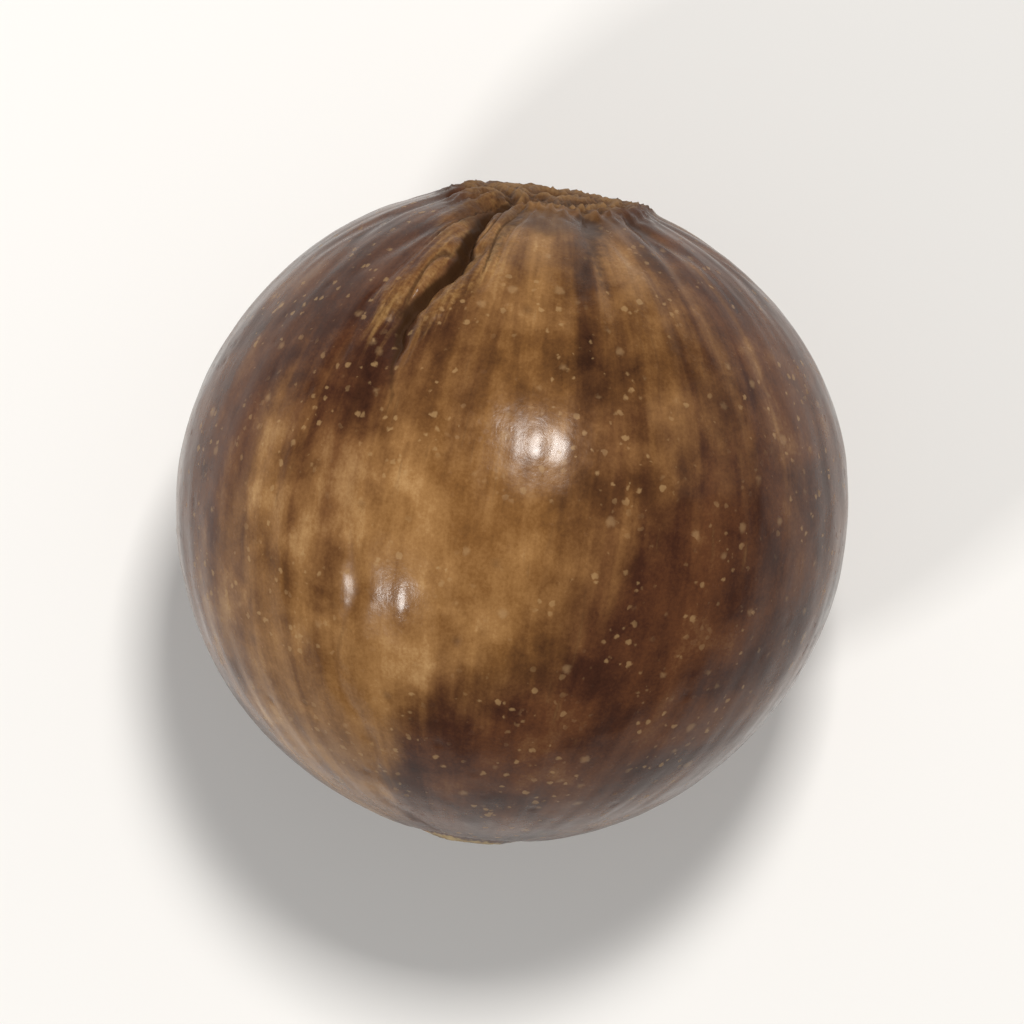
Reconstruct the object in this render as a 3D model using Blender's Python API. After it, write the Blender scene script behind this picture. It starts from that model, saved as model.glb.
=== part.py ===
"""A macadamia nut in its shell: one closed solid that lies on a small flat spot.

The shell is a sphere whose vertices are moved along their own directions by a formula. The nut's own
axis runs from the attachment scar to the pore, and the suture runs down one meridian between them. The
nut then lies on its side, with the scar towards +Y and the suture turned up and a little to the left.
"""

import math
import random

import bmesh
import bpy
from mathutils import Matrix, Vector, noise

# The whole nut, in metres
GIRTH = 0.0262
LENGTH = 0.0256
FLAT_SPOT_RADIUS = 0.0034
SCAR_END_FLATTENING = 0.00034
SCAR_END_WIDTH = 0.0071
PORE_END_DRAWING = 0.00032
PORE_END_WIDTH = 0.0084
SUTURE_KEEL_HEIGHT = 0.00012
SUTURE_KEEL_WIDTH = 0.0055
SWELL_HEIGHT = 0.00013
SWELL_SPACING = 0.0120

# The suture groove: it is deep near the scar and fades between two distances from the scar's middle
GROOVE_DEPTH_AT_SCAR = 0.00062
GROOVE_DEPTH_AT_PORE = 0.00005
GROOVE_FADE_START = 0.0100
GROOVE_FADE_END = 0.0155
GROOVE_WIDTH = 0.00050
GROOVE_LIP_HEIGHT = 0.00006
GROOVE_LIP_OFFSET = 0.00110
GROOVE_LIP_WIDTH = 0.00060
GROOVE_WANDER = 0.00035
GROOVE_WANDER_LENGTH = 0.0070

# The attachment scar
SCAR_RADIUS = 0.0038
SCAR_DISH_RADIUS = 0.0029
SCAR_DISH_DEPTH = 0.00022
SCAR_RIM_HEIGHT = 0.00014
SCAR_RIM_WIDTH = 0.00070
SCAR_WRINKLE_HEIGHT = 0.00010
SCAR_WRINKLE_SPACING = 0.00130
SCAR_PIT_RADIUS = 0.00080
SCAR_PIT_DEPTH = 0.00045
SCAR_RAGGEDNESS = 0.00050
SCAR_RAG_SPACING = 0.0025

# Vein furrows that fan out from the scar and fork on their way down the shell
VEIN_COUNT = 15
VEIN_DEPTH = 0.00020
VEIN_DEEPEST = 0.00026
VEIN_WIDTH = 0.00042
VEIN_REACH = (0.0070, 0.0150)
VEIN_FORK_SHARE = (0.15, 0.45)
VEIN_FORK_SPREAD = 0.16
VEIN_BEND = 0.10
VEIN_BEND_LENGTH = 0.0061
VEIN_SEED = 21

# The pore disc at the other end
PORE_DISC_RADIUS = 0.00200
PORE_DISC_HEIGHT = 0.00009
PORE_RING_RADIUS = 0.00250
PORE_RING_DEPTH = 0.00012
PORE_RING_WIDTH = 0.00045
PORE_HOLE_RADIUS = 0.00038
PORE_HOLE_DEPTH = 0.00030

# How the nut lies, in degrees
SCAR_LIFT = 7.0
SCAR_TURN_TO_RIGHT = 7.5
SUTURE_TURN_TO_LEFT = 27.0

# Mesh: columns crowd towards the suture, rings towards both ends
COLUMNS = 92
RINGS = 54
COLUMN_CROWDING = 0.35
RING_CROWDING = 0.25
FOLLOWING_WIDTH = 0.50
SMALLEST_RING = 0.01
CUT_SNAP = 0.00002

# Shell colour and gloss
SHELL_COLOR = (0.176, 0.086, 0.034, 1.0)
SHELL_ROUGHNESS = 0.38

MEAN_RADIUS = (GIRTH + LENGTH) / 4.0
HALF_TURN = MEAN_RADIUS * math.pi


def clear_scene():
    """Remove every object that the file opened with."""
    for old in list(bpy.data.objects):
        bpy.data.objects.remove(old, do_unlink=True)


def bell(distance, width):
    """A smooth bump: 1 at no distance, nearly 0 past twice the width."""
    return math.exp(-((distance / width) ** 2))


def ramp(value, low, high):
    """A smooth step from 0 at low to 1 at high."""
    share = min(max((value - low) / (high - low), 0.0), 1.0)
    return share * share * (3.0 - 2.0 * share)


def ripple(direction, spacing):
    """Smooth noise between about -1 and 1, with bumps a spacing apart on the shell."""
    return 2.0 * noise.noise(direction * (MEAN_RADIUS / spacing))


def plan_veins():
    """Choose where each vein furrow starts, ends and forks, how deep it is and how it bends."""
    draw = random.Random(VEIN_SEED)
    veins = []
    for number in range(VEIN_COUNT):
        turn = 2.0 * math.pi * (number + 0.5 + draw.uniform(-0.3, 0.3)) / VEIN_COUNT
        reach = draw.uniform(*VEIN_REACH)
        fork = SCAR_RADIUS + draw.uniform(*VEIN_FORK_SHARE) * (reach - SCAR_RADIUS)
        depth = VEIN_DEPTH * draw.uniform(0.6, 1.0)
        veins.append((turn, reach, fork, depth, draw.uniform(0.0, 2.0 * math.pi)))
    return veins


def body_radius(direction, from_scar, across_suture):
    """Radius of the plain shell: an ellipsoid with a flatter scar end, a drawn pore end and a low keel."""
    stretched = Vector((direction.x / GIRTH, direction.y / GIRTH, direction.z / LENGTH))
    radius = 0.5 / stretched.length
    radius -= SCAR_END_FLATTENING * bell(from_scar, SCAR_END_WIDTH)
    radius += PORE_END_DRAWING * bell(HALF_TURN - from_scar, PORE_END_WIDTH)
    radius += SUTURE_KEEL_HEIGHT * bell(across_suture, SUTURE_KEEL_WIDTH)
    return radius + SWELL_HEIGHT * ripple(direction, SWELL_SPACING)


def groove_wander(from_scar):
    """How far the suture strays sideways from its meridian."""
    share = ramp(from_scar, 0.0, SCAR_RADIUS) * ramp(HALF_TURN - from_scar, 0.0, PORE_RING_RADIUS)
    return share * GROOVE_WANDER * math.sin(2.0 * math.pi * from_scar / GROOVE_WANDER_LENGTH)


def groove_relief(from_scar, across_suture):
    """The suture: a wandering groove between two low lips."""
    across = across_suture - groove_wander(from_scar)
    fade = ramp(from_scar, GROOVE_FADE_START, GROOVE_FADE_END)
    depth = GROOVE_DEPTH_AT_SCAR + (GROOVE_DEPTH_AT_PORE - GROOVE_DEPTH_AT_SCAR) * fade
    lips = GROOVE_LIP_HEIGHT * (1.0 - fade) * bell(abs(across) - GROOVE_LIP_OFFSET, GROOVE_LIP_WIDTH)
    ends = ramp(from_scar, 0.4 * SCAR_RADIUS, SCAR_RADIUS)
    ends *= ramp(HALF_TURN - from_scar, PORE_DISC_RADIUS, 2.0 * PORE_DISC_RADIUS)
    return ends * (lips - depth * bell(across, GROOVE_WIDTH))


def vein_relief(from_scar, turn, veins):
    """Furrows that leave the scar's rim, bend, fork in two and fade out."""
    ring_radius = MEAN_RADIUS * math.sin(from_scar / MEAN_RADIUS)
    start_ramp = ramp(from_scar, SCAR_DISH_RADIUS, 1.2 * SCAR_RADIUS)
    furrow = 0.0
    for start, reach, fork, depth, phase in veins:
        strength = start_ramp * ramp(reach - from_scar, 0.0, 0.5 * reach)
        middle = start + VEIN_BEND * math.sin(phase + from_scar / VEIN_BEND_LENGTH)
        spread = VEIN_FORK_SPREAD * max(0.0, from_scar - fork) / (reach - fork)
        branches = (middle - spread, middle + spread)
        nearest = min(abs(math.remainder(turn - branch, 2.0 * math.pi)) for branch in branches)
        furrow += strength * depth * bell(ring_radius * nearest, VEIN_WIDTH)
    return -min(furrow, VEIN_DEEPEST)


def scar_relief(direction, from_scar):
    """The attachment scar: a ragged raised rim round a shallow wrinkled dish with a pit in its middle."""
    ragged = from_scar + SCAR_RAGGEDNESS * ripple(direction, SCAR_RAG_SPACING)
    inside = 1.0 - ramp(ragged, SCAR_DISH_RADIUS, SCAR_RADIUS)
    rim = SCAR_RIM_HEIGHT * bell(ragged - SCAR_RADIUS, SCAR_RIM_WIDTH)
    wrinkles = SCAR_WRINKLE_HEIGHT * math.cos(2.0 * math.pi * ragged / SCAR_WRINKLE_SPACING)
    pit = SCAR_PIT_DEPTH * bell(from_scar, SCAR_PIT_RADIUS)
    return rim + inside * (wrinkles - SCAR_DISH_DEPTH) - pit


def pore_relief(from_pore):
    """The pore disc: a low round pad with a ring furrow round it and a small hole in its middle."""
    pad = PORE_DISC_HEIGHT * (1.0 - ramp(from_pore, 0.8 * PORE_DISC_RADIUS, 1.1 * PORE_DISC_RADIUS))
    ring = PORE_RING_DEPTH * bell(from_pore - PORE_RING_RADIUS, PORE_RING_WIDTH)
    hole = PORE_HOLE_DEPTH * bell(from_pore, PORE_HOLE_RADIUS)
    return pad - ring - hole


def shell_point(direction, veins):
    """Where the shell's surface lies in one direction from the nut's middle."""
    from_scar = MEAN_RADIUS * math.acos(min(max(direction.z, -1.0), 1.0))
    turn = math.atan2(direction.y, direction.x)
    across_suture = MEAN_RADIUS * math.hypot(direction.x, direction.y) * turn
    radius = body_radius(direction, from_scar, across_suture)
    radius += groove_relief(from_scar, across_suture)
    radius += vein_relief(from_scar, turn, veins)
    radius += scar_relief(direction, from_scar)
    radius += pore_relief(HALF_TURN - from_scar)
    return direction * radius


def crowded(direction):
    """Crowd the rings towards both ends and the columns towards the suture, whose wander they follow."""
    drop = math.acos(min(max(direction.z, -1.0), 1.0))
    drop -= 0.5 * RING_CROWDING * math.sin(2.0 * drop)
    turn = math.atan2(direction.y, direction.x)
    turn -= COLUMN_CROWDING * math.sin(turn)
    ring_radius = MEAN_RADIUS * max(math.sin(drop), SMALLEST_RING)
    turn += groove_wander(MEAN_RADIUS * drop) / ring_radius * bell(turn, FOLLOWING_WIDTH)
    return Vector((math.sin(drop) * math.cos(turn), math.sin(drop) * math.sin(turn), math.cos(drop)))


def lying_matrix():
    """The turn that lays the nut down: its own Z is the scar's direction, its own X the suture's."""
    lift = math.radians(SCAR_LIFT)
    turn = math.radians(SCAR_TURN_TO_RIGHT)
    scar = Vector((math.cos(lift) * math.sin(turn), math.cos(lift) * math.cos(turn), math.sin(lift)))
    up = Vector((0.0, 0.0, 1.0))
    back = (up - up.project(scar)).normalized()
    left = back.cross(scar)
    side = math.radians(SUTURE_TURN_TO_LEFT)
    suture = back * math.cos(side) + left * math.sin(side)
    return Matrix((suture, scar.cross(suture), scar)).transposed().to_4x4()


def cut_flat_spot(shell):
    """Cut the lowest cap off, to leave the small flat spot that the nut lies on."""
    depth = GIRTH / 2.0 - math.sqrt((GIRTH / 2.0) ** 2 - FLAT_SPOT_RADIUS**2)
    lowest = min(vertex.co.z for vertex in shell.verts)
    bmesh.ops.bisect_plane(
        shell,
        geom=shell.verts[:] + shell.edges[:] + shell.faces[:],
        dist=CUT_SNAP,
        plane_co=(0.0, 0.0, lowest + depth),
        plane_no=(0.0, 0.0, 1.0),
        clear_inner=True,
    )
    rim = [edge for edge in shell.edges if edge.is_boundary]
    bmesh.ops.contextual_create(shell, geom=rim)


def stand_on_origin(shell):
    """Move the nut so that its box stands on the origin, in the middle of the box's foot."""
    low = Vector(min(vertex.co[axis] for vertex in shell.verts) for axis in range(3))
    high = Vector(max(vertex.co[axis] for vertex in shell.verts) for axis in range(3))
    foot = Vector(((low.x + high.x) / 2.0, (low.y + high.y) / 2.0, low.z))
    bmesh.ops.translate(shell, verts=shell.verts, vec=-foot)


def shell_material():
    """Brown woody shell with a satin gloss."""
    material = bpy.data.materials.new("nut_shell")
    material.use_nodes = True
    shader = material.node_tree.nodes["Principled BSDF"]
    shader.inputs["Base Color"].default_value = SHELL_COLOR
    shader.inputs["Roughness"].default_value = SHELL_ROUGHNESS
    shader.inputs["Metallic"].default_value = 0.0
    return material


def build_nut():
    """Make the nut as one mesh object."""
    veins = plan_veins()
    shell = bmesh.new()
    bmesh.ops.create_uvsphere(shell, u_segments=COLUMNS, v_segments=RINGS, radius=1.0)
    for vertex in shell.verts:
        vertex.co = shell_point(crowded(vertex.co.normalized()), veins)
    bmesh.ops.transform(shell, matrix=lying_matrix(), verts=shell.verts)
    cut_flat_spot(shell)
    stand_on_origin(shell)
    bmesh.ops.recalc_face_normals(shell, faces=shell.faces)
    data = bpy.data.meshes.new("macadamia_nut")
    shell.to_mesh(data)
    shell.free()
    data.shade_smooth()
    data.materials.append(shell_material())
    return bpy.data.objects.new("macadamia_nut", data)


def main():
    """Build the nut in a collection of its own."""
    clear_scene()
    collection = bpy.data.collections.new("macadamia_nut")
    bpy.context.scene.collection.children.link(collection)
    collection.objects.link(build_nut())


main()
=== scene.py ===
"""Looks of a macadamia nut in its shell, lying on a pale floor under soft studio light.

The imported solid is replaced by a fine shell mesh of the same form, with the suture, veins, attachment
scar, pore disc, pits and fibre ridges as real relief. Each part of the shell also marks where it lies on
the mesh, and the shell's finish reads those marks.
"""

from __future__ import annotations

import logging
import math
import random
from collections.abc import Sequence
from dataclasses import dataclass, field
from enum import Enum

import bmesh
import bpy
import numpy as np
from mathutils import Matrix, Vector, noise


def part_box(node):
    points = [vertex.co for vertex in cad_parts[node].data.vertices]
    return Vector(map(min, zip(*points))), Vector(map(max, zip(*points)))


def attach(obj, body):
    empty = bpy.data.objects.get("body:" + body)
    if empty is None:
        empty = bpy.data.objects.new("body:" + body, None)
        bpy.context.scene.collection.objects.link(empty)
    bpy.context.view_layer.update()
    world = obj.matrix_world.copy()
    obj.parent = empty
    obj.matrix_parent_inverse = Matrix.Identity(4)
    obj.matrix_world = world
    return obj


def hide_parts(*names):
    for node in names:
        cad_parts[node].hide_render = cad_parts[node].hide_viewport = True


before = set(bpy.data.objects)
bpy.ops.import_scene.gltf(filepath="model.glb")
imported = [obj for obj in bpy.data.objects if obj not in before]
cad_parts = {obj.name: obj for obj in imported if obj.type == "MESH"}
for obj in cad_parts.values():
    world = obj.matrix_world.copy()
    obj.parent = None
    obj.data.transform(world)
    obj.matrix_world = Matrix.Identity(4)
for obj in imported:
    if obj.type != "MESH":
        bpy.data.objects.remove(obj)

LOG = logging.getLogger("macadamia_nut")
NUT_NODE = "macadamia_nut"
NUT_BODY = "root"

Settings = dict[str | int, object]
Links = dict[str | int, bpy.types.NodeSocket]
Marks = dict[str, np.ndarray]
Stops = tuple[tuple[float, str], ...]
Shares = tuple[tuple[str, float], ...]
Parts = Sequence[tuple[str | bpy.types.NodeSocket, float]]

# A mix node has sockets of the same name for every kind of value, so they are told apart by place
MIX_FACTOR = 0
MIX_FIRST = 6
MIX_SECOND = 7
MIX_RESULT = 2
FLOAT_MIX_FIRST = 2
FLOAT_MIX_SECOND = 3
FLOAT_MIX_RESULT = 0

NOISE_MIDDLE = 0.5
RAMP_MIDDLE = 0.5


def linear(code: str) -> tuple[float, float, float, float]:
    """Turn an sRGB hex colour into linear red, green, blue and alpha.

    Args:
        code: Six hex digits, such as "8A5A2B".

    Returns:
        The linear colour with an alpha of 1.
    """
    channels = [int(code[place : place + 2], 16) / 255.0 for place in (0, 2, 4)]
    bright = [c / 12.92 if c <= 0.04045 else ((c + 0.055) / 1.055) ** 2.4 for c in channels]
    return (bright[0], bright[1], bright[2], 1.0)


def per_metre(spacing_mm: float) -> float:
    """Return the texture scale whose pattern repeats about every so many millimetres."""
    return 1000.0 / spacing_mm


def middling(shares: Shares) -> float:
    """Return what cancels the mean of some patterns, each of which swings about its middle."""
    return -NOISE_MIDDLE * sum(weight for _, weight in shares)


def add_node(
    tree: bpy.types.NodeTree, kind: str, settings: Settings | None = None, links: Links | None = None
) -> bpy.types.Node:
    """Add one node with its settings and links.

    Args:
        tree: The node tree that takes the node.
        kind: Blender's name for the node's type.
        settings: Values by property name, by input, or by "stops" for a ramp's places and colours.
        links: The output that feeds each input.

    Returns:
        The new node.
    """
    node = tree.nodes.new(kind)
    for key, value in (settings or {}).items():
        if key == "stops":
            elements = node.color_ramp.elements
            while len(elements) < len(value):
                elements.new(1.0)
            for element, (place, code) in zip(elements, value):
                element.position = place
                element.color = linear(code)
        elif isinstance(key, str) and hasattr(node, key):
            setattr(node, key, value)
        else:
            node.inputs[key].default_value = value
    for key, source in (links or {}).items():
        tree.links.new(source, node.inputs[key])
    return node


def bell(distance: np.ndarray, width: float) -> np.ndarray:
    """Return a smooth bump: 1 at no distance, nearly 0 past twice the width."""
    return np.exp(-((distance / width) ** 2))


def ramp(value: np.ndarray, low: float, high: float) -> np.ndarray:
    """Return a smooth step from 0 at low to 1 at high."""
    share = np.clip((value - low) / (high - low), 0.0, 1.0)
    return share * share * (3.0 - 2.0 * share)


def wrapped(angle: np.ndarray) -> np.ndarray:
    """Return an angle brought into half a turn either way."""
    return (angle + math.pi) % (2.0 * math.pi) - math.pi


def ripple(places: np.ndarray, spacing: float) -> np.ndarray:
    """Return smooth noise between about -1 and 1.

    Args:
        places: Points in metres, one row each.
        spacing: The distance between bumps, in metres.

    Returns:
        One value for each point.
    """
    return np.array([2.0 * noise.noise(place) for place in (places / spacing).tolist()])


@dataclass(frozen=True)
class Chart:
    """Where each vertex lies on the shell, with the nut upright: its scar at +Z and its suture at +X."""

    radius: float
    directions: np.ndarray

    @property
    def places(self) -> np.ndarray:
        """Return each vertex's place on a plain sphere of the shell's mean radius."""
        return self.directions * self.radius

    @property
    def from_scar(self) -> np.ndarray:
        """Return each vertex's distance from the scar's middle, along the shell."""
        return self.radius * np.arccos(np.clip(self.directions[:, 2], -1.0, 1.0))

    @property
    def from_pore(self) -> np.ndarray:
        """Return each vertex's distance from the pore, along the shell."""
        return self.radius * math.pi - self.from_scar

    @property
    def turn(self) -> np.ndarray:
        """Return each vertex's turn from the suture round the nut's axis, in radians."""
        return np.arctan2(self.directions[:, 1], self.directions[:, 0])

    @property
    def ring_radius(self) -> np.ndarray:
        """Return each vertex's distance from the nut's axis."""
        return self.radius * np.hypot(self.directions[:, 0], self.directions[:, 1])

    @property
    def fibre_places(self) -> np.ndarray:
        """Return coordinates in which the fibres run straight: two round the nut and one along it."""
        around = self.radius * np.stack((np.cos(self.turn), np.sin(self.turn)), axis=1)
        return np.column_stack((around, self.from_scar))

    def fibres(self, stretch: float) -> np.ndarray:
        """Return the fibre coordinates, squeezed lengthways so that a pattern runs along the fibres."""
        return self.fibre_places * np.array((1.0, 1.0, stretch))


@dataclass(frozen=True)
class ShellBody:
    """The plain round shell, with a flatter scar end, a drawn pore end and a low keel under the suture."""

    girth: float = 0.0262
    length: float = 0.0256
    scar_end_flattening: float = 0.00034
    scar_end_width: float = 0.0071
    pore_end_drawing: float = 0.00032
    pore_end_width: float = 0.0084
    keel_height: float = 0.00012
    keel_width: float = 0.0055
    swell_height: float = 0.00013
    swell_spacing: float = 0.0120

    @property
    def mean_radius(self) -> float:
        """Return the radius that distances along the shell are measured on."""
        return (self.girth + self.length) / 4.0

    def distance(self, chart: Chart) -> np.ndarray:
        """Return how far the plain shell lies from the nut's middle.

        Args:
            chart: Where the vertices lie.

        Returns:
            A distance in metres for each vertex.
        """
        stretched = chart.directions / np.array((self.girth, self.girth, self.length))
        distance = 0.5 / np.linalg.norm(stretched, axis=1)
        distance -= self.scar_end_flattening * bell(chart.from_scar, self.scar_end_width)
        distance += self.pore_end_drawing * bell(chart.from_pore, self.pore_end_width)
        distance += self.keel_height * bell(chart.ring_radius * chart.turn, self.keel_width)
        return distance + self.swell_height * ripple(chart.places, self.swell_spacing)


@dataclass(frozen=True)
class Suture:
    """The seam of the shell: an open dark groove near the scar, then a hairline towards the pore."""

    depth_at_scar: float = 0.00062
    depth_at_pore: float = 0.00005
    fade_start: float = 0.0100
    fade_end: float = 0.0155
    width: float = 0.00050
    lip_height: float = 0.00006
    lip_offset: float = 0.00110
    lip_width: float = 0.00060
    wander: float = 0.00035
    wander_length: float = 0.0070
    raggedness: float = 0.00011
    rag_spacing: float = 0.0009
    fine_raggedness: float = 0.00005
    fine_rag_spacing: float = 0.00038
    crack_depth: float = 0.00030
    crack_width: float = 0.00020
    hairline_depth: float = 0.00002
    hairline_patch: float = 0.0032
    hairline_mark: float = 0.24
    hairline_mark_play: float = 0.12
    fibre_height: float = 0.000045
    fibre_spacing: float = 0.00085
    fibre_stretch: float = 0.12
    tear_depth: float = 0.00013
    tear_spacing: float = 0.0017
    tear_stretch: float = 0.35
    tear_share: float = 0.10
    floor_width: float = 0.00040
    shoulder_offset: float = 0.00085
    shoulder_width: float = 0.00085
    end_start: float = 0.0015
    end_full: float = 0.0038
    pore_clear: float = 0.0020
    wander_end: float = 0.0025

    def across(self, chart: Chart) -> np.ndarray:
        """Return each vertex's distance sideways from the wandering seam.

        Args:
            chart: Where the vertices lie.

        Returns:
            A signed distance in metres for each vertex.
        """
        share = ramp(chart.from_scar, 0.0, self.end_full) * ramp(chart.from_pore, 0.0, self.wander_end)
        stray = share * self.wander * np.sin(2.0 * math.pi * chart.from_scar / self.wander_length)
        stray += self.raggedness * ripple(chart.places, self.rag_spacing)
        stray += self.fine_raggedness * ripple(chart.places, self.fine_rag_spacing)
        return chart.ring_radius * chart.turn - stray

    def openness(self, chart: Chart) -> np.ndarray:
        """Return 1 where the groove is deep and 0 where it is only a hairline."""
        return 1.0 - ramp(chart.from_scar, self.fade_start, self.fade_end)

    def reach(self, chart: Chart) -> np.ndarray:
        """Return 1 along the seam and 0 within the scar and the pore disc."""
        near_scar = ramp(chart.from_scar, self.end_start, self.end_full)
        return near_scar * ramp(chart.from_pore, self.pore_clear, 2.0 * self.pore_clear)

    def beside(self, chart: Chart) -> np.ndarray:
        """Return 1 on the groove's shoulders and 0 away from them."""
        beside = np.abs(self.across(chart)) - self.shoulder_offset
        return bell(beside, self.shoulder_width) * self.openness(chart)

    def torn(self, chart: Chart) -> np.ndarray:
        """Return 1 in the short cracks that run along the fibres beside the groove."""
        weave = ripple(chart.fibres(self.tear_stretch), self.tear_spacing)
        return bell(weave, self.tear_share) * self.beside(chart)

    def relief(self, chart: Chart) -> np.ndarray:
        """Return how far the seam raises or lowers the shell.

        Args:
            chart: Where the vertices lie.

        Returns:
            A height in metres for each vertex.
        """
        across = self.across(chart)
        openness = self.openness(chart)
        depth = self.depth_at_pore + (self.depth_at_scar - self.depth_at_pore) * openness
        lips = self.lip_height * openness * bell(np.abs(across) - self.lip_offset, self.lip_width)
        crack = (self.hairline_depth + self.crack_depth * openness) * bell(across, self.crack_width)
        weave = ripple(chart.fibres(self.fibre_stretch), self.fibre_spacing)
        fibres = self.fibre_height * weave * self.beside(chart) - self.tear_depth * self.torn(chart)
        return self.reach(chart) * (lips + fibres - depth * bell(across, self.width) - crack)

    def marks(self, chart: Chart) -> Marks:
        """Return where the groove's dark floor, its pale fibrous shoulders and their cracks are.

        Args:
            chart: Where the vertices lie.

        Returns:
            The marks by name, each with a value for every vertex.
        """
        across = self.across(chart)
        openness = self.openness(chart)
        reach = self.reach(chart)
        hairline = self.hairline_mark + self.hairline_mark_play * ripple(chart.places, self.hairline_patch)
        hairline *= bell(across, self.crack_width) * (1.0 - openness)
        floor = bell(across, self.floor_width) * openness + hairline
        marks = {"groove": floor, "shoulders": self.beside(chart), "tears": self.torn(chart)}
        return {name: reach * values for name, values in marks.items()}


@dataclass(frozen=True)
class Vein:
    """One vein furrow: where it starts round the scar, where it ends and forks, its depth and its bend."""

    turn: float
    reach: float
    fork: float
    depth: float
    phase: float


@dataclass(frozen=True)
class VeinFurrows:
    """Furrows that fan out from the scar, bend, fork in two and fade out."""

    count: int = 15
    place_play: float = 0.3
    depth: float = 0.00020
    depth_play: tuple[float, float] = (0.6, 1.0)
    deepest: float = 0.00026
    width: float = 0.00042
    reach: tuple[float, float] = (0.0070, 0.0150)
    fork_share: tuple[float, float] = (0.15, 0.45)
    fork_spread: float = 0.16
    bend: float = 0.10
    bend_length: float = 0.0061
    seed: int = 21
    start: float = 0.0029
    full: float = 0.00456
    fade_share: float = 0.5
    scar_radius: float = 0.0038

    def plan(self) -> list[Vein]:
        """Return the veins, the same ones each time.

        Returns:
            One plan for each vein, in their order round the scar.
        """
        draw = random.Random(self.seed)
        veins = []
        for number in range(self.count):
            place = number + 0.5 + draw.uniform(-self.place_play, self.place_play)
            turn = 2.0 * math.pi * place / self.count
            reach = draw.uniform(*self.reach)
            fork = self.scar_radius + draw.uniform(*self.fork_share) * (reach - self.scar_radius)
            depth = self.depth * draw.uniform(*self.depth_play)
            veins.append(Vein(turn, reach, fork, depth, draw.uniform(0.0, 2.0 * math.pi)))
        return veins

    def furrow(self, chart: Chart) -> np.ndarray:
        """Return how deep the furrows are.

        Args:
            chart: Where the vertices lie.

        Returns:
            A depth in metres for each vertex.
        """
        from_scar = chart.from_scar
        start = ramp(from_scar, self.start, self.full)
        total = np.zeros(len(from_scar))
        for vein in self.plan():
            strength = start * ramp(vein.reach - from_scar, 0.0, self.fade_share * vein.reach)
            middle = vein.turn + self.bend * np.sin(vein.phase + from_scar / self.bend_length)
            spread = self.fork_spread * np.maximum(0.0, from_scar - vein.fork) / (vein.reach - vein.fork)
            offsets = [wrapped(chart.turn - middle - side * spread) for side in (-1.0, 1.0)]
            nearest = np.min(np.abs(offsets), axis=0)
            total += strength * vein.depth * bell(chart.ring_radius * nearest, self.width)
        return np.minimum(total, self.deepest)

    def relief(self, chart: Chart) -> np.ndarray:
        """Return how far the furrows lower the shell."""
        return -self.furrow(chart)

    def marks(self, chart: Chart) -> Marks:
        """Return where the furrows are, as a share of the deepest one."""
        return {"veins": self.furrow(chart) / self.deepest}


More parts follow.
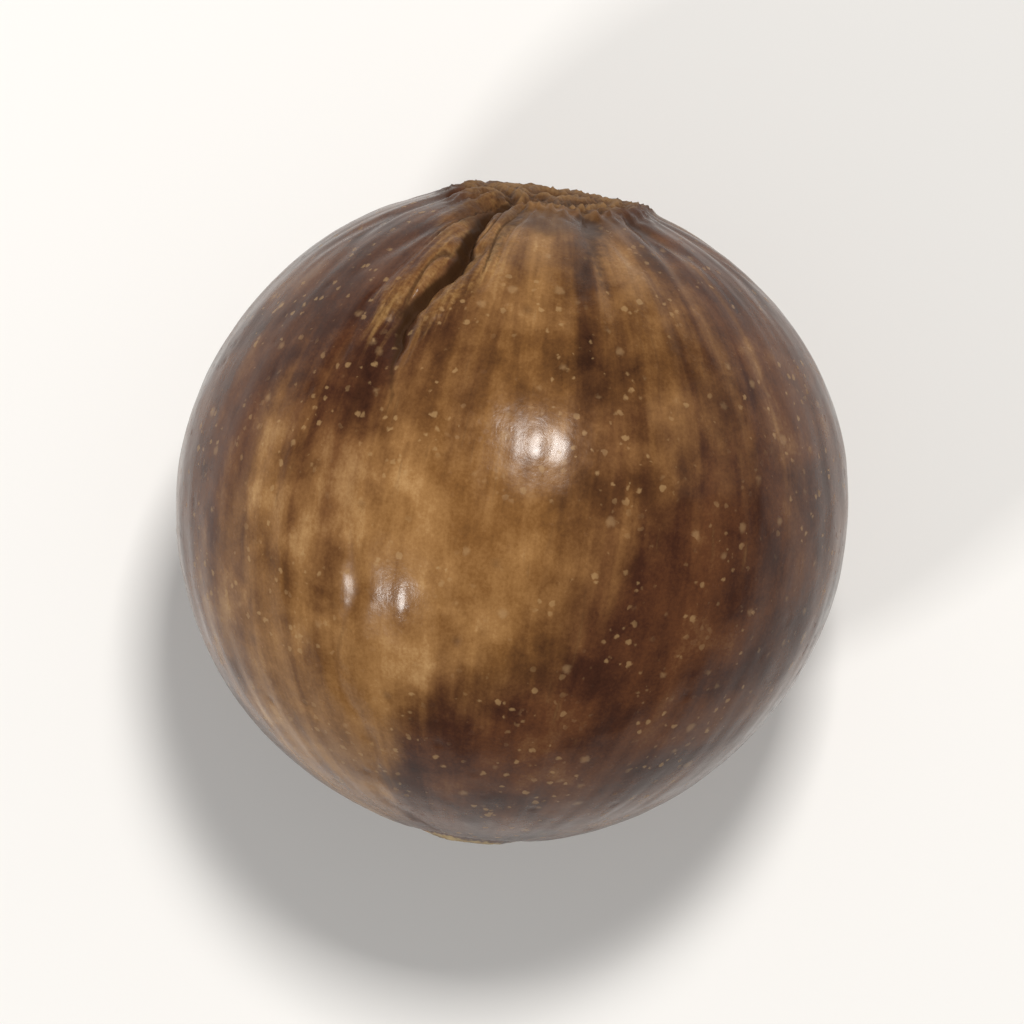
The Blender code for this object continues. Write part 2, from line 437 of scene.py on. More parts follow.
@dataclass(frozen=True)
class AttachmentScar:
    """The scar where the nut hung: a ragged rim round a wrinkled, fibrous dish with a pit in its middle."""

    radius: float = 0.0038
    dish_radius: float = 0.0029
    dish_depth: float = 0.00022
    rim_height: float = 0.00014
    rim_width: float = 0.00070
    wrinkle_height: float = 0.00013
    wrinkle_spacing: float = 0.00130
    wrinkle_stray: float = 2.7
    wrinkle_stray_spacing: float = 0.0026
    pit_radius: float = 0.00080
    pit_depth: float = 0.00045
    pit_raggedness: float = 0.00028
    pit_rag_spacing: float = 0.0010
    raggedness: float = 0.00050
    rag_spacing: float = 0.0025
    fibre_height: float = 0.00008
    fibre_spacing: float = 0.0019
    fibre_stretch: float = 0.5
    fibre_start: tuple[float, float] = (0.0008, 0.0022)
    knob_height: float = 0.00007
    knob_spacing: float = 0.00050
    floor_edge: tuple[float, float] = (0.00317, 0.00457)
    stain_offset: float = 0.0010
    stain_width: float = 0.0010

    def ragged(self, chart: Chart) -> np.ndarray:
        """Return the distance from the scar's middle, with the rim's raggedness in it."""
        return chart.from_scar + self.raggedness * ripple(chart.places, self.rag_spacing)

    def pit(self, chart: Chart) -> np.ndarray:
        """Return 1 in the scar's uneven middle pit and 0 away from it."""
        stray = self.pit_raggedness * ripple(chart.places, self.pit_rag_spacing)
        return bell(chart.from_scar + stray, self.pit_radius)

    def tangle(self, chart: Chart) -> np.ndarray:
        """Return the height of the wrinkles, radial fibres and knobs that fill the scar.

        Args:
            chart: Where the vertices lie.

        Returns:
            A height in metres for each vertex.
        """
        ragged = self.ragged(chart)
        inside = 1.0 - ramp(ragged, self.dish_radius, self.radius)
        stray = self.wrinkle_stray * ripple(chart.places, self.wrinkle_stray_spacing)
        wrinkles = inside * self.wrinkle_height
        wrinkles *= np.cos(2.0 * math.pi * ragged / self.wrinkle_spacing + stray)
        weave = ripple(chart.fibres(self.fibre_stretch), self.fibre_spacing)
        fibres = self.fibre_height * ramp(chart.from_scar, *self.fibre_start) * (1.0 - 2.0 * np.abs(weave))
        knobs = self.knob_height * (1.0 - 2.0 * np.abs(ripple(chart.places, self.knob_spacing)))
        return wrinkles + fibres + knobs

    def relief(self, chart: Chart) -> np.ndarray:
        """Return how far the scar raises or lowers the shell.

        Args:
            chart: Where the vertices lie.

        Returns:
            A height in metres for each vertex.
        """
        ragged = self.ragged(chart)
        inside = 1.0 - ramp(ragged, self.dish_radius, self.radius)
        rim = self.rim_height * bell(ragged - self.radius, self.rim_width)
        near = 1.0 - ramp(ragged, self.radius, self.radius + 2.0 * self.rim_width)
        return rim - inside * self.dish_depth - self.pit_depth * self.pit(chart) + near * self.tangle(chart)

    def marks(self, chart: Chart) -> Marks:
        """Return where the scar's floor, its ridges, its dark pit and the dark stain round it are.

        Args:
            chart: Where the vertices lie.

        Returns:
            The marks by name, each with a value for every vertex.
        """
        ragged = self.ragged(chart)
        floor = 1.0 - ramp(ragged, *self.floor_edge)
        rise = 0.5 + 0.5 * self.tangle(chart) / (self.wrinkle_height + self.fibre_height)
        stain = bell(ragged - self.radius - self.stain_offset, self.stain_width)
        return {"scar": floor, "scar_rise": rise, "scar_pit": self.pit(chart), "stain": stain}


@dataclass(frozen=True)
class PoreDisc:
    """The pale disc at the other end: a low pad with a ring furrow round it and the pore in its middle."""

    edge: tuple[float, float] = (0.00160, 0.00220)
    height: float = 0.00009
    ring_radius: float = 0.00250
    ring_depth: float = 0.00012
    ring_width: float = 0.00045
    hole_radius: float = 0.00038
    hole_depth: float = 0.00030
    grain_height: float = 0.00003
    grain_spacing: float = 0.0006
    mark_edge: tuple[float, float] = (0.00160, 0.00224)
    mark_raggedness: float = 0.00018
    mark_rag_spacing: float = 0.0013
    ring_mark_width: float = 0.00036
    halo_radius: float = 0.0068

    def relief(self, chart: Chart) -> np.ndarray:
        """Return how far the disc raises or lowers the shell.

        Args:
            chart: Where the vertices lie.

        Returns:
            A height in metres for each vertex.
        """
        inside = 1.0 - ramp(chart.from_pore, *self.edge)
        ring = self.ring_depth * bell(chart.from_pore - self.ring_radius, self.ring_width)
        hole = self.hole_depth * bell(chart.from_pore, self.hole_radius)
        grain = self.grain_height * inside * ripple(chart.places, self.grain_spacing)
        return self.height * inside - ring - hole + grain

    def marks(self, chart: Chart) -> Marks:
        """Return where the pale disc, its dark ring, the pore and the speckled zone round them are.

        Args:
            chart: Where the vertices lie.

        Returns:
            The marks by name, each with a value for every vertex.
        """
        ragged = chart.from_pore + self.mark_raggedness * ripple(chart.places, self.mark_rag_spacing)
        disc = 1.0 - ramp(ragged, *self.mark_edge)
        ring = bell(ragged - self.ring_radius, self.ring_mark_width)
        hole = bell(chart.from_pore, self.hole_radius)
        halo = 1.0 - ramp(ragged, self.ring_radius, self.halo_radius)
        return {"pore_disc": disc, "pore_ring": ring, "pore_hole": hole, "pore_halo": halo}


@dataclass(frozen=True)
class ShellGrain:
    """The fine relief and tone of the whole shell: dimples, small pits, fibre ridges and a tan side, whose
    dark rest is partly the shell's own darker brown and partly painted shade.
    """

    dimple_height: float = 0.000011
    dimple_spacing: float = 0.0021
    skin_height: float = 0.000006
    skin_spacing: float = 0.0008
    pit_depth: float = 0.000035
    pit_radius: float = 0.00017
    pit_spacing: float = 0.0016
    pit_patch: float = 0.0040
    pit_presence: tuple[float, float] = (-0.15, 0.25)
    ridge_height: float = 0.000016
    ridge_spacing: float = 0.00090
    ridge_stretch: float = 0.10
    # The tan side's edges; the dark beyond them is partly painted shade on the far left limb and on the
    # right and bottom as the camera sees the nut
    tan_left: float = -0.31
    tan_left_lean: float = 1.0
    tan_right: float = 0.95
    tan_lean: float = 1.45
    tan_soft: float = 0.45
    tan_edge: float = 0.20
    tan_edge_spacing: float = 0.0052
    tan_stretch: float = 0.35
    brown_share: float = 0.62
    brown_reach: tuple[float, float] = (0.0100, 0.0205)
    brown_turn: tuple[float, float] = (-0.10, 0.45)
    brown_past_suture: float = 0.5
    tail_share: float = 0.46
    tail_reach: float = 1.3
    tail_down: tuple[float, float] = (0.42, 0.66)
    end_streaks: float = 0.35
    belt_rings: tuple[float, float] = (0.0015, 0.0085)
    back_turn: float = 2.7
    back_width: float = 0.60
    back_share: float = 0.45

    def pits(self, chart: Chart) -> np.ndarray:
        """Return how strongly each vertex lies in a small pit, from 0 to 1.

        Args:
            chart: Where the vertices lie.

        Returns:
            One share for each vertex.
        """
        cells = (chart.places / self.pit_spacing).tolist()
        nearest = np.array([noise.voronoi(cell)[0][0] for cell in cells])
        present = ramp(ripple(chart.places, self.pit_patch), *self.pit_presence)
        return present * bell(nearest * self.pit_spacing, self.pit_radius)

    def ridges(self, chart: Chart) -> np.ndarray:
        """Return fibre ridges that run from the scar to the pore, between about -1 and 1."""
        return ripple(chart.fibres(self.ridge_stretch), self.ridge_spacing)

    def tan_side(self, chart: Chart) -> np.ndarray:
        """Return 1 on the tan side and 0 on the dark side, with a streaky edge between. The dark side is
        partly the shell's own darker brown and partly painted shade: seen from the camera, it takes the
        right side, more of it towards the pore end at the bottom of the picture, and the far left limb.

        Args:
            chart: Where the vertices lie.

        Returns:
            One share for each vertex.
        """
        turn = chart.turn + self.tan_edge * ripple(chart.fibres(self.tan_stretch), self.tan_edge_spacing)
        down = chart.from_scar / (math.pi * chart.radius)
        right_edge = self.tan_right - self.tan_lean * down**2
        left_edge = self.tan_left - self.tan_left_lean * (down - 0.5)
        left = ramp(turn, left_edge - self.tan_soft, left_edge + self.tan_soft)
        right = 1.0 - ramp(turn, right_edge - self.tan_soft, right_edge + self.tan_soft)
        brown = self.brown_share * (1.0 - ramp(chart.from_scar, *self.brown_reach))
        brown *= 1.0 - (1.0 - self.brown_past_suture) * ramp(turn, *self.brown_turn)
        tail = self.tail_share * left * (1.0 - right) * (1.0 - ramp(down, *self.tail_down))
        tail *= 1.0 - ramp(turn, right_edge, right_edge + self.tail_reach)
        back = self.back_share * bell(wrapped(turn - self.back_turn), self.back_width)
        return left * right * (1.0 - brown) + tail + back

    def belt(self, chart: Chart) -> np.ndarray:
        """Return how strong the streaks are: full round the middle, weak where they meet at the ends."""
        return self.end_streaks + (1.0 - self.end_streaks) * ramp(chart.ring_radius, *self.belt_rings)

    def relief(self, chart: Chart) -> np.ndarray:
        """Return the fine relief.

        Args:
            chart: Where the vertices lie.

        Returns:
            A height in metres for each vertex.
        """
        height = self.dimple_height * ripple(chart.places, self.dimple_spacing)
        height += self.skin_height * ripple(chart.places, self.skin_spacing)
        height += self.ridge_height * self.ridges(chart)
        return height - self.pit_depth * self.pits(chart)

    def marks(self, chart: Chart) -> Marks:
        """Return where the pits and the tan side are, and how strong the streaks are."""
        return {"pits": self.pits(chart), "tan_side": self.tan_side(chart), "belt": self.belt(chart)}


@dataclass
class ShellInputs:
    """What the finish reads: the shell's marks and its patterns, each an output under its name."""

    tree: bpy.types.NodeTree
    outputs: dict[str, bpy.types.NodeSocket] = field(default_factory=dict)

    def total(self, start: float, parts: Parts) -> bpy.types.NodeSocket:
        """Add up a start value and some outputs, each times its weight.

        Args:
            start: The value to start from.
            parts: Pairs of an output, or its name, and its weight.

        Returns:
            The output that holds the total.
        """
        settings: Settings = {"operation": "MULTIPLY_ADD", 2: start}
        total = None
        for part, weight in parts:
            settings[1] = weight
            links: Links = {0: self.outputs[part] if isinstance(part, str) else part}
            if total is not None:
                links[2] = total
            total = add_node(self.tree, "ShaderNodeMath", settings, links).outputs[0]
            settings = {"operation": "MULTIPLY_ADD"}
        return total

    def product(self, first: bpy.types.NodeSocket, second: bpy.types.NodeSocket) -> bpy.types.NodeSocket:
        """Return one output times another."""
        settings = {"operation": "MULTIPLY"}
        return add_node(self.tree, "ShaderNodeMath", settings, {0: first, 1: second}).outputs[0]

    def step(self, source: bpy.types.NodeSocket, low: float, high: float) -> bpy.types.NodeSocket:
        """Return a smooth step from 0 at low to 1 at high."""
        settings = {"interpolation_type": "SMOOTHSTEP", "From Min": low, "From Max": high}
        return add_node(self.tree, "ShaderNodeMapRange", settings, {"Value": source}).outputs[0]


@dataclass(frozen=True)
class NoisePattern:
    """One pattern of the shell: its name, spacing, detail, roughness and distortion, and how it runs."""

    name: str
    spacing_mm: float
    detail: float
    roughness: float
    distortion: float = 0.0
    along_fibres: bool = False


@dataclass(frozen=True)
class Flecks:
    """Scattered dots of many sizes: how far apart they lie, how large they grow and how soft they end."""

    spacing_mm: float
    size: float
    edge: tuple[float, float] = (0.10, 0.30)

    def dots(self, inputs: ShellInputs, places: bpy.types.NodeSocket) -> bpy.types.NodeSocket:
        """Return 1 in the dots and 0 between them.

        Args:
            inputs: What the finish reads.
            places: The coordinates that the dots are scattered in.

        Returns:
            The output that holds the dots.
        """
        settings = {"Scale": per_metre(self.spacing_mm)}
        cells = add_node(inputs.tree, "ShaderNodeTexVoronoi", settings, {"Vector": places})
        lot = add_node(inputs.tree, "ShaderNodeSeparateColor", None, {"Color": cells.outputs["Color"]})
        gap = inputs.total(0.0, [(lot.outputs[0], self.size), (cells.outputs["Distance"], -1.0)])
        return inputs.step(gap, *self.edge)


@dataclass(frozen=True)
class Grain:
    """A colour that varies over the shell: the stops of its ramp and the weight of each pattern in it."""

    stops: Stops
    shares: Shares

    def colour(self, inputs: ShellInputs) -> bpy.types.NodeSocket:
        """Return the colour, whose ramp's middle is where all its patterns are at their middle.

        Args:
            inputs: What the finish reads.

        Returns:
            The output that holds the colour.
        """
        place = inputs.total(RAMP_MIDDLE + middling(self.shares), self.shares)
        made = add_node(inputs.tree, "ShaderNodeValToRGB", {"stops": self.stops}, {"Fac": place})
        return made.outputs["Color"]


@dataclass(frozen=True)
class Layer:
    """One layer of colour: the mark that it follows, its hex colour or its grain, and how well it covers.

    A layer with a pattern ends in a crisp edge, which that pattern frays.
    """

    mark: str
    top: str | Grain
    cover: float
    pattern: str = ""
    fray: float = 0.0
    edge: tuple[float, float] = (0.0, 1.0)

    def mask(self, inputs: ShellInputs) -> bpy.types.NodeSocket:
        """Return how much of what lies below the layer hides.

        Args:
            inputs: What the finish reads.

        Returns:
            The output that holds the mask, from 0 to the layer's cover.
        """
        mask = inputs.outputs[self.mark]
        if self.pattern:
            start = -NOISE_MIDDLE * self.fray
            frayed = inputs.total(start, [(self.pattern, self.fray), (self.mark, 1.0)])
            mask = inputs.step(frayed, *self.edge)
        return inputs.total(0.0, [(mask, self.cover)])

    def over(self, inputs: ShellInputs, below: bpy.types.NodeSocket) -> bpy.types.NodeSocket:
        """Return the colour below with this layer over it.

        Args:
            inputs: What the finish reads.
            below: The output that holds the colour below.

        Returns:
            The output that holds the colour of both.
        """
        settings: Settings = {"data_type": "RGBA"}
        links: Links = {MIX_FACTOR: self.mask(inputs), MIX_FIRST: below}
        if isinstance(self.top, Grain):
            links[MIX_SECOND] = self.top.colour(inputs)
        else:
            settings[MIX_SECOND] = linear(self.top)
        return add_node(inputs.tree, "ShaderNodeMix", settings, links).outputs[MIX_RESULT]


# The shell's two browns, the darker one partly the shell's own and partly painted shade, and the rougher
# woods of the groove's shoulders, the scar and the pore disc
SHELL_TONE = (("mottle", 0.95), ("blotch", 0.64), ("streak", 0.42), ("fine_streak", 0.26), ("grit", 0.28))
DARK_SHELL_AND_PAINTED_SHADE = Grain(((0.12, "2A150D"), (0.38, "432517"), (0.62, "5F3921"), (0.90, "805A38")), SHELL_TONE)
TAN_SHELL = Grain(((0.12, "54351A"), (0.38, "7A532B"), (0.62, "986F42"), (0.90, "BE9766")), SHELL_TONE)
SHOULDER_WOOD = Grain(
    ((0.38, "66421F"), (0.50, "93693A"), (0.62, "BC935A")),
    (("fine_streak", 0.50), ("skin", 0.25), ("grit", 0.25)),
)
SCAR_WOOD = Grain(
    ((0.32, "342113"), (0.50, "62442A"), (0.68, "8E6C46")),
    (("scar_rise", 0.38), ("blotch", 0.16), ("skin", 0.26), ("grit", 0.20)),
)
PORE_CORK = Grain(
    ((0.34, "755D3B"), (0.50, "A1885B"), (0.66, "C4AC80")),
    (("blotch", 0.60), ("skin", 0.40)),
)


@dataclass(frozen=True)
class WoodyNutshell:
    """Finish of a macadamia's shell.

    The real one is a hard woody nutshell that was husked, dried and tumbled until it is smooth and faintly
    waxy. To the eye that gives mottled browns with tan fibre streaks and fine pale flecks under a satin
    gloss, and dull, rough wood only in the scar, the veins and the groove.
    """

    # The dark brown is partly the shell's own and partly painted shade, laid where the tan side mark is low
    dark_side_and_painted_shade: Grain = DARK_SHELL_AND_PAINTED_SHADE
    tan_side: Grain = TAN_SHELL
    tan_streaks: Shares = (("streak", 0.84), ("blotch", 0.40))
    tan_edge: tuple[float, float] = (0.18, 0.92)
    layers: tuple[Layer, ...] = (
        Layer("dark_fibres", "331B10", 0.26),
        Layer("speckles", "AF8D60", 0.48),
        Layer("lenses", "B6946A", 0.30),
        Layer("shoulders", SHOULDER_WOOD, 0.44, "fine_streak", 1.6, (0.25, 0.95)),
        Layer("stain", "3C2415", 0.55, "streak", 1.2, (0.20, 1.00)),
        Layer("veins", "301B10", 0.70, "skin", 0.8, (0.30, 0.80)),
        Layer("pits", "331B10", 0.45),
        Layer("tears", "2A170C", 0.55, "skin", 0.6, (0.30, 0.80)),
        Layer("scar", SCAR_WOOD, 0.92, "blotch", 1.6, (0.25, 0.75)),
        Layer("groove", "3A230F", 0.95, "fine_streak", 0.5, (0.22, 0.52)),
        Layer("scar_pit", "170D07", 0.90, "skin", 0.8, (0.25, 0.75)),
        Layer("pore_ring", "3A2315", 0.75, "skin", 0.8, (0.20, 0.80)),
        Layer("pore_disc", PORE_CORK, 0.88, "skin", 1.2, (0.28, 0.72)),
        Layer("pore_hole", "170D07", 0.90, "skin", 0.8, (0.25, 0.80)),
    )
    roughness: float = 0.30
    dull_patterns: Shares = (("blotch", 0.22), ("skin", 0.10))
    dull_marks: Shares = (
        ("scar", 0.45),
        ("groove", 0.40),
        ("tears", 0.30),
        ("shoulders", 0.14),
        ("veins", 0.14),
        ("pore_disc", 0.22),
        ("pits", 0.12),
        ("dots", 0.10),
    )
    specular: float = 0.13
    coat: float = 0.11
    coat_roughness: float = 0.13
    fine_grain: Shares = (("skin", 0.60), ("fine_streak", 0.35))
    fine_bump: float = 0.000030
    fine_strength: float = 0.45
    rough_wood: Shares = (("scar", 0.90), ("shoulders", 0.55))
    rough_weave: Shares = (("streak", 0.30), ("fine_streak", 0.40), ("skin", 0.50), ("grit", 0.35))
    rough_bump: float = 0.000110
    # The real wood's grain is finer than 0.1 mm, so skin and grit are drawn as coarse as they need to show
    patterns: tuple[NoisePattern, ...] = (
        NoisePattern("mottle", 4.20, 3.0, 0.48, 0.6),
        NoisePattern("blotch", 1.60, 4.0, 0.54, 0.3),
        NoisePattern("streak", 1.45, 3.0, 0.52, 0.5, along_fibres=True),
        NoisePattern("fine_streak", 0.46, 3.0, 0.60, 0.3, along_fibres=True),
        NoisePattern("skin", 0.30, 2.0, 0.60),
        NoisePattern("grit", 0.13, 2.0, 0.60),
        NoisePattern("cloud", 2.60, 2.0, 0.50),
    )
    streak_stretch: float = 0.13
    dark_fibre_edge: tuple[float, float] = (0.62, 0.74)
    speckles: Flecks = Flecks(0.39, 0.55)
    lenses: Flecks = Flecks(0.95, 0.42)
    speckled_zones: Shares = (("cloud", 1.0), ("pore_halo", 0.30), ("tan_side", -0.06))
    speckled_edge: tuple[float, float] = (0.38, 0.58)
    fleck_shake: float = 0.00024
    fleck_shake_mm: float = 0.24
    mark_names: tuple[str, ...] = (
        "groove",
        "shoulders",
        "tears",
        "veins",
        "scar",
        "scar_rise",
        "scar_pit",
        "stain",
        "pore_disc",
        "pore_ring",
        "pore_hole",
        "pore_halo",
        "pits",
        "tan_side",
        "belt",
    )

    def read(self, tree: bpy.types.NodeTree) -> ShellInputs:
        """Return the shell's marks, patterns and flecks as outputs.

        Args:
            tree: The material's node tree.

        Returns:
            Everything that the finish reads.
        """
        inputs = ShellInputs(tree)
        for name in self.mark_names:
            made = add_node(tree, "ShaderNodeAttribute", {"attribute_name": name})
            inputs.outputs[name] = made.outputs["Fac"]
        grown = add_node(tree, "ShaderNodeAttribute", {"attribute_name": "grown"}).outputs["Vector"]
        fibres = add_node(tree, "ShaderNodeAttribute", {"attribute_name": "fibres"}).outputs["Vector"]
        stretch = {"operation": "MULTIPLY", 1: (1.0, 1.0, self.streak_stretch)}
        along = add_node(tree, "ShaderNodeVectorMath", stretch, {0: fibres}).outputs["Vector"]
        for pattern in self.patterns:
            places = along if pattern.along_fibres else grown
            inputs.outputs[pattern.name] = self.noise(inputs, pattern, places)
        self.fleck(inputs, grown)
        dark_fibres = inputs.step(inputs.outputs["fine_streak"], *self.dark_fibre_edge)
        inputs.outputs["dark_fibres"] = dark_fibres
        return inputs

    def noise(
        self, inputs: ShellInputs, pattern: NoisePattern, places: bpy.types.NodeSocket
    ) -> bpy.types.NodeSocket:
        """Return one noise pattern, calmed at the nut's ends where it runs along the fibres.

        Args:
            inputs: What the finish reads.
            pattern: The pattern.
            places: The coordinates that it runs in.

        Returns:
            The output that holds the pattern.
        """
        settings = {
            "Scale": per_metre(pattern.spacing_mm),
            "Detail": pattern.detail,
            "Roughness": pattern.roughness,
            "Distortion": pattern.distortion,
        }
        made = add_node(inputs.tree, "ShaderNodeTexNoise", settings, {"Vector": places}).outputs["Fac"]
        if not pattern.along_fibres:
            return made
        links = {MIX_FACTOR: inputs.outputs["belt"], FLOAT_MIX_SECOND: made}
        calmed = add_node(inputs.tree, "ShaderNodeMix", {FLOAT_MIX_FIRST: NOISE_MIDDLE}, links)
        return calmed.outputs[FLOAT_MIX_RESULT]

    def fleck(self, inputs: ShellInputs, grown: bpy.types.NodeSocket) -> None:
        """Add the flecks to what the finish reads: dots everywhere, speckles in their zones, and lenses.

        Args:
            inputs: What the finish reads.
            grown: The coordinates that the flecks are scattered in.
        """
        tree = inputs.tree
        settings = {"Scale": per_metre(self.fleck_shake_mm)}
        shake = add_node(tree, "ShaderNodeTexNoise", settings, {"Vector": grown}).outputs["Color"]
        settings = {"operation": "MULTIPLY_ADD", 1: (self.fleck_shake,) * 3}
        shaken = add_node(tree, "ShaderNodeVectorMath", settings, {0: shake, 2: grown}).outputs["Vector"]
        zones = inputs.step(inputs.total(0.0, self.speckled_zones), *self.speckled_edge)
        inputs.outputs["dots"] = self.speckles.dots(inputs, shaken)
        inputs.outputs["speckles"] = inputs.product(inputs.outputs["dots"], zones)
        inputs.outputs["lenses"] = self.lenses.dots(inputs, shaken)

    def colour(self, inputs: ShellInputs) -> bpy.types.NodeSocket:
        """Return the shell's colour, built up in layers from the plain browns to the pore's hole.

        Args:
            inputs: What the finish reads.

        Returns:
            The output that holds the colour.
        """
        # The tan and dark browns, mixed by the tan side mark; the dark brown stands partly for painted
        # shade on the right, the bottom and the far left limb
        tan = inputs.total(middling(self.tan_streaks), (("tan_side", 1.0),) + self.tan_streaks)
        links = {
            MIX_FACTOR: inputs.step(tan, *self.tan_edge),
            MIX_FIRST: self.dark_side_and_painted_shade.colour(inputs),
            MIX_SECOND: self.tan_side.colour(inputs),
        }
        colour = add_node(inputs.tree, "ShaderNodeMix", {"data_type": "RGBA"}, links).outputs[MIX_RESULT]
        for layer in self.layers:
            colour = layer.over(inputs, colour)
        return colour

    def dullness(self, inputs: ShellInputs) -> bpy.types.NodeSocket:
        """Return the shell's roughness: satin where it was tumbled, dull in its hollows."""
        start = self.roughness + middling(self.dull_patterns)
        return inputs.step(inputs.total(start, self.dull_patterns + self.dull_marks), 0.0, 1.0)

    def normal(self, inputs: ShellInputs) -> bpy.types.NodeSocket:
        """Return the shell's normal, with the waxy skin's fine grain and its rough wood's coarse fibres.

        Args:
            inputs: What the finish reads.

        Returns:
            The output that holds the normal.
        """
        fine = inputs.total(0.0, self.fine_grain)
        coarse = inputs.product(inputs.total(0.0, self.rough_wood), inputs.total(0.0, self.rough_weave))
        settings = {"Strength": 1.0, "Distance": self.rough_bump}
        below = add_node(inputs.tree, "ShaderNodeBump", settings, {"Height": coarse}).outputs["Normal"]
        settings = {"Strength": self.fine_strength, "Distance": self.fine_bump}
        above = add_node(inputs.tree, "ShaderNodeBump", settings, {"Height": fine, "Normal": below})
        return above.outputs["Normal"]

    def material(self) -> bpy.types.Material:
        """Return the finish as a Blender material.

        Returns:
            The finish, ready for the shell's mesh.
        """
        made = bpy.data.materials.new("woody_nutshell")
        made.use_nodes = True
        tree = made.node_tree
        shader = tree.nodes["Principled BSDF"]
        inputs = self.read(tree)
        tree.links.new(self.colour(inputs), shader.inputs["Base Color"])
        tree.links.new(self.dullness(inputs), shader.inputs["Roughness"])
        tree.links.new(self.normal(inputs), shader.inputs["Normal"])
        shader.inputs["Metallic"].default_value = 0.0
        shader.inputs["Specular IOR Level"].default_value = self.specular
        shader.inputs["Coat Weight"].default_value = self.coat
        shader.inputs["Coat Roughness"].default_value = self.coat_roughness
        return made


@dataclass(frozen=True)
class Lie:
    """How the nut lies: its scar's lift and turn, its suture's turn, and the flat spot it lies on."""

    scar_lift_deg: float = 7.0
    scar_turn_deg: float = 7.5
    suture_turn_deg: float = 27.0
    flat_spot_radius: float = 0.0034

    def matrix(self) -> np.ndarray:
        """Return the turn from the upright nut to the lying one, as a 3 by 3 array.

        Returns:
            The turn, whose columns are the lying nut's suture, side and scar directions.
        """
        lift = math.radians(self.scar_lift_deg)
        turn = math.radians(self.scar_turn_deg)
        scar = Vector((math.cos(lift) * math.sin(turn), math.cos(lift) * math.cos(turn), math.sin(lift)))
        up = Vector((0.0, 0.0, 1.0))
        back = (up - up.project(scar)).normalized()
        left = back.cross(scar)
        side = math.radians(self.suture_turn_deg)
        suture = back * math.cos(side) + left * math.sin(side)
        return np.array(Matrix((suture, scar.cross(suture), scar)).transposed())

    def set_down(self, points: np.ndarray, girth: float) -> np.ndarray:
        """Lay the nut's points down on the floor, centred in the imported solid's box.

        Args:
            points: Points of the upright nut, one row each.
            girth: The nut's widest distance across.

        Returns:
            The points of the lying nut, flat where it touches the floor.
        """
        lying = points @ self.matrix().T
        low, high = (np.array(corner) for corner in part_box(NUT_NODE))
        middle = (low + high) / 2.0
        own_middle = (lying.min(axis=0) + lying.max(axis=0)) / 2.0
        depth = girth / 2.0 - math.sqrt((girth / 2.0) ** 2 - self.flat_spot_radius**2)
        lying[:, :2] += (middle - own_middle)[:2]
        lying[:, 2] += low[2] - lying[:, 2].min() - depth
        lying[:, 2] = np.maximum(lying[:, 2], low[2])
        return lying


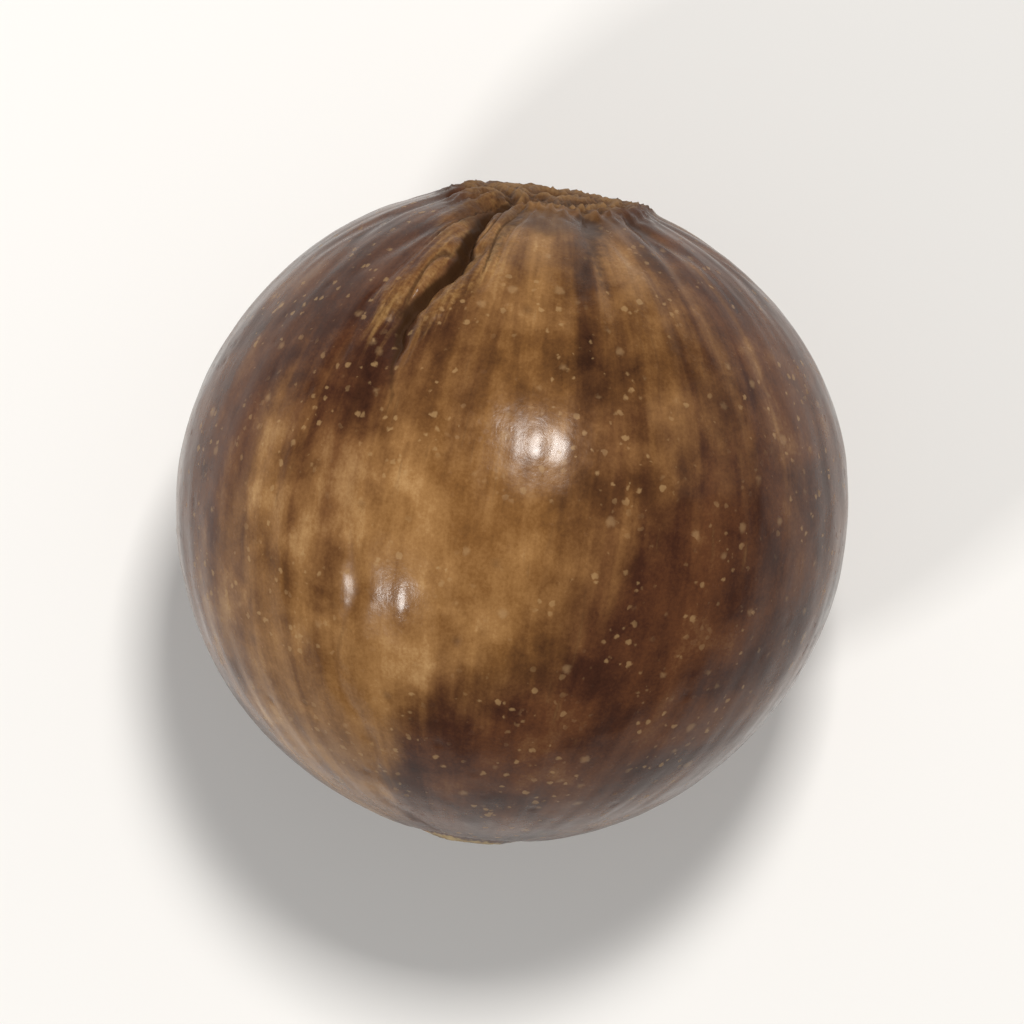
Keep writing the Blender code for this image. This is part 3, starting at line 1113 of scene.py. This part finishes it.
@dataclass
class MacadamiaNut:
    """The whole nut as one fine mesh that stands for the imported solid."""

    cells: int = 128
    end_crowding: float = 0.20
    suture_crowding: float = 0.35
    body: ShellBody = field(default_factory=ShellBody)
    suture: Suture = field(default_factory=Suture)
    veins: VeinFurrows = field(default_factory=VeinFurrows)
    scar: AttachmentScar = field(default_factory=AttachmentScar)
    pore: PoreDisc = field(default_factory=PoreDisc)
    grain: ShellGrain = field(default_factory=ShellGrain)
    lie: Lie = field(default_factory=Lie)
    finish: WoodyNutshell = field(default_factory=WoodyNutshell)

    def ball(self) -> bpy.types.Mesh:
        """Return a cube whose faces are cut into square cells, ready to be blown up into a ball.

        Returns:
            The mesh, still a cube that reaches one metre each way.
        """
        cage = bmesh.new()
        bmesh.ops.create_cube(cage, size=2.0)
        bmesh.ops.subdivide_edges(cage, edges=cage.edges[:], cuts=self.cells - 1, use_grid_fill=True)
        mesh = bpy.data.meshes.new(NUT_NODE + "_shell")
        cage.to_mesh(mesh)
        cage.free()
        return mesh

    def chart(self, mesh: bpy.types.Mesh) -> Chart:
        """Return where each vertex of the ball lies, with more of them near both ends and the suture.

        Args:
            mesh: The cube from ball().

        Returns:
            The chart of its vertices.
        """
        places = np.empty(len(mesh.vertices) * 3)
        mesh.vertices.foreach_get("co", places)
        spread = np.tan(places.reshape(-1, 3) * math.pi / 4.0)
        even = spread / np.linalg.norm(spread, axis=1, keepdims=True)
        drop = np.arccos(np.clip(even[:, 2], -1.0, 1.0))
        drop -= 0.5 * self.end_crowding * np.sin(2.0 * drop)
        turn = np.arctan2(even[:, 1], even[:, 0])
        turn -= self.suture_crowding * np.sin(turn)
        flat = np.sin(drop)
        directions = np.stack((flat * np.cos(turn), flat * np.sin(turn), np.cos(drop)), axis=1)
        return Chart(self.body.mean_radius, directions)

    def shape(self, chart: Chart) -> np.ndarray:
        """Return each vertex's place on the upright nut.

        Args:
            chart: Where the vertices lie.

        Returns:
            A point for each vertex, one row each.
        """
        distance = self.body.distance(chart)
        for feature in (self.suture, self.veins, self.scar, self.pore, self.grain):
            distance += feature.relief(chart)
        return chart.directions * distance[:, None]

    def mark(self, mesh: bpy.types.Mesh, chart: Chart) -> None:
        """Write each feature's marks, and the coordinates that the patterns run in, onto the mesh.

        Args:
            mesh: The shell's mesh.
            chart: Where its vertices lie.
        """
        for feature in (self.suture, self.veins, self.scar, self.pore, self.grain):
            for name, values in feature.marks(chart).items():
                attribute = mesh.attributes.new(name, "FLOAT", "POINT")
                attribute.data.foreach_set("value", values.astype(np.float32))
        for name, vectors in (("grown", chart.places), ("fibres", chart.fibre_places)):
            attribute = mesh.attributes.new(name, "FLOAT_VECTOR", "POINT")
            attribute.data.foreach_set("vector", vectors.astype(np.float32).ravel())

    def build(self) -> bpy.types.Object:
        """Build the nut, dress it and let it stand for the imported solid.

        Returns:
            The finished nut.
        """
        mesh = self.ball()
        chart = self.chart(mesh)
        self.mark(mesh, chart)
        lying = self.lie.set_down(self.shape(chart), self.body.girth)
        mesh.vertices.foreach_set("co", lying.astype(np.float32).ravel())
        mesh.update()
        mesh.shade_smooth()
        mesh.materials.append(self.finish.material())
        nut = bpy.data.objects.new(NUT_NODE + "_shell", mesh)
        bpy.context.scene.collection.objects.link(nut)
        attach(nut, NUT_BODY)
        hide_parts(NUT_NODE)
        LOG.info("%s: %d faces, %d marks", nut.name, len(mesh.polygons), len(mesh.attributes))
        return nut


@dataclass(frozen=True)
class MattePaper:
    """Finish of the floor: heavy white paper, uncoated, which gives a plain pale ground with no shine."""

    white: str = "F1F0EE"
    roughness: float = 0.9

    def material(self) -> bpy.types.Material:
        """Return the finish as a Blender material.

        Returns:
            The finish, ready for the floor.
        """
        made = bpy.data.materials.new("matte_paper")
        made.use_nodes = True
        shader = made.node_tree.nodes["Principled BSDF"]
        shader.inputs["Base Color"].default_value = linear(self.white)
        shader.inputs["Roughness"].default_value = self.roughness
        return made


class LampRole(Enum):
    """What a lamp is for."""

    KEY = "key"
    SIDE = "side"
    RIM = "rim"


@dataclass(frozen=True)
class Lamp:
    """One soft square lamp: its role, where it shines from, its distance, size, power and colour."""

    role: LampRole
    towards: tuple[float, float, float]
    distance: float
    size: float
    power: float
    white: str = "FFFCF8"

    def hang(self, target: Vector) -> bpy.types.Object:
        """Hang the lamp so that it shines on a point.

        Args:
            target: The point it shines on.

        Returns:
            The lamp.
        """
        data = bpy.data.lights.new(f"{self.role.value}_lamp", "AREA")
        data.shape = "SQUARE"
        data.size = self.size
        data.energy = self.power
        data.color = linear(self.white)[:3]
        lamp = bpy.data.objects.new(data.name, data)
        direction = Vector(self.towards).normalized()
        lamp.location = target + direction * self.distance
        lamp.rotation_euler = direction.to_track_quat("Z", "Y").to_euler()
        bpy.context.scene.collection.objects.link(lamp)
        return lamp


@dataclass
class Studio:
    """The pale floor, the lamps, the soft surrounding light and the camera that looks straight down."""

    floor_size: float = 1.2
    floor_cells: int = 8
    surround: str = "ECEDEE"
    surround_strength: float = 0.30
    camera_distance: float = 0.42
    view_width: float = 0.0400
    sensor_mm: float = 36.0
    clip_start: float = 0.01
    paper: MattePaper = field(default_factory=MattePaper)
    lamps: tuple[Lamp, ...] = (
        Lamp(LampRole.KEY, (0.10, 0.40, 0.92), 0.42, 0.070, 1.34),
        Lamp(LampRole.SIDE, (-0.58, -0.46, 0.68), 0.45, 0.060, 0.66),
        Lamp(LampRole.RIM, (0.90, 0.35, 0.30), 0.50, 0.30, 0.11),
    )

    def lay_floor(self) -> bpy.types.Object:
        """Lay the floor under the nut.

        Returns:
            The floor.
        """
        cage = bmesh.new()
        cells = self.floor_cells
        bmesh.ops.create_grid(cage, x_segments=cells, y_segments=cells, size=self.floor_size / 2.0)
        mesh = bpy.data.meshes.new("floor")
        cage.to_mesh(mesh)
        cage.free()
        mesh.materials.append(self.paper.material())
        floor = bpy.data.objects.new("floor", mesh)
        bpy.context.scene.collection.objects.link(floor)
        return floor

    def light(self, target: Vector) -> None:
        """Hang the lamps and set the surrounding light.

        Args:
            target: The point that the lamps shine on.
        """
        for lamp in self.lamps:
            lamp.hang(target)
        world = bpy.data.worlds.new("soft_surround")
        world.use_nodes = True
        background = world.node_tree.nodes["Background"]
        background.inputs["Color"].default_value = linear(self.surround)
        background.inputs["Strength"].default_value = self.surround_strength
        bpy.context.scene.world = world

    def set_camera(self, target: Vector) -> bpy.types.Object:
        """Set the camera straight above the nut, with the scar's side at the top of the picture.

        Args:
            target: The point in the middle of the picture.

        Returns:
            The camera.
        """
        data = bpy.data.cameras.new("camera")
        data.sensor_width = self.sensor_mm
        data.lens = self.sensor_mm * self.camera_distance / self.view_width
        data.clip_start = self.clip_start
        camera = bpy.data.objects.new("camera", data)
        camera.location = target + Vector((0.0, 0.0, self.camera_distance))
        bpy.context.scene.collection.objects.link(camera)
        bpy.context.scene.camera = camera
        return camera

    def build(self) -> None:
        """Build the floor, lights and camera round the nut."""
        low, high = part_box(NUT_NODE)
        target = (low + high) / 2.0
        self.lay_floor()
        self.light(target)
        self.set_camera(target)
        bpy.context.scene.view_settings.view_transform = "Standard"
        LOG.info("studio: %d lamps, camera %.2f m above the nut", len(self.lamps), self.camera_distance)


def main() -> None:
    """Build the nut and the studio."""
    logging.basicConfig(level=logging.INFO, format="%(name)s: %(message)s")
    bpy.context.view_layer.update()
    MacadamiaNut().build()
    Studio().build()
    bpy.context.view_layer.update()


if __name__ == "__main__":
    main()
